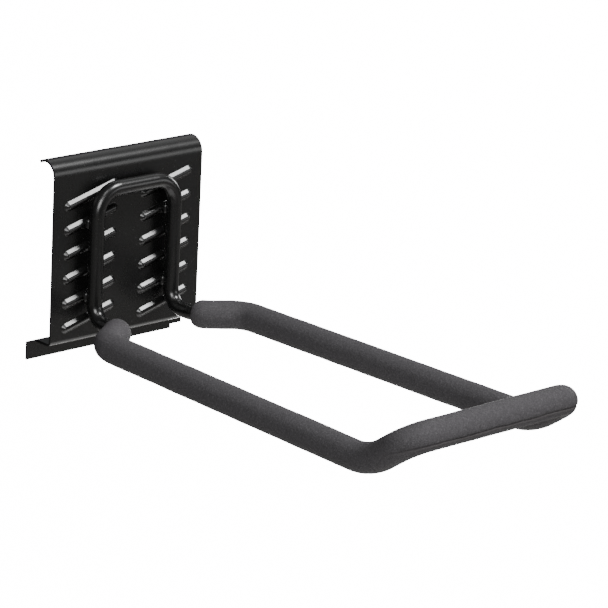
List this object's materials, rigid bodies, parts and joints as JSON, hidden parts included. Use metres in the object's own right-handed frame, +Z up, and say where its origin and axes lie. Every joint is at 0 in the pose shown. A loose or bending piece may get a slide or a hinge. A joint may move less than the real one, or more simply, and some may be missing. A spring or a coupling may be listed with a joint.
{
  "type": "bicycle wall rack",
  "caption": "Bicycle wall rack that hooks onto a wall panel: a ribbed steel plate with a padded rod loop to hang a bicycle frame on, and a sliding lock strip.",
  "frame": {"origin": "middle of the plate's flat back, in the plane where it meets the wall panel", "axes": "+X to the right of someone facing the panel, +Y into the panel, +Z up; the arms reach out towards -Y"},
  "size_m": [0.1884, 0.4494, 0.1648],
  "materials": {
    "black_powder_coat": "semi-gloss black powder coat",
    "stud_steel": "black oxide, satin",
    "foam": "matt closed-cell foam"
  },
  "bodies": {
    "rack": {"back_plate": "black_powder_coat", "rod_frame": "black_powder_coat", "foam_sleeve": "foam", "weld_beads": "black_powder_coat"},
    "lock": {"lock_strip": "black_powder_coat", "lock_studs": "stud_steel"}
  },
  "joints": [
    {"name": "lock_slide", "type": "slide", "parent": "rack", "child": "lock", "axis": [0.9806, 0, -0.1961], "range_m": [0, 0.01224]}
  ]
}
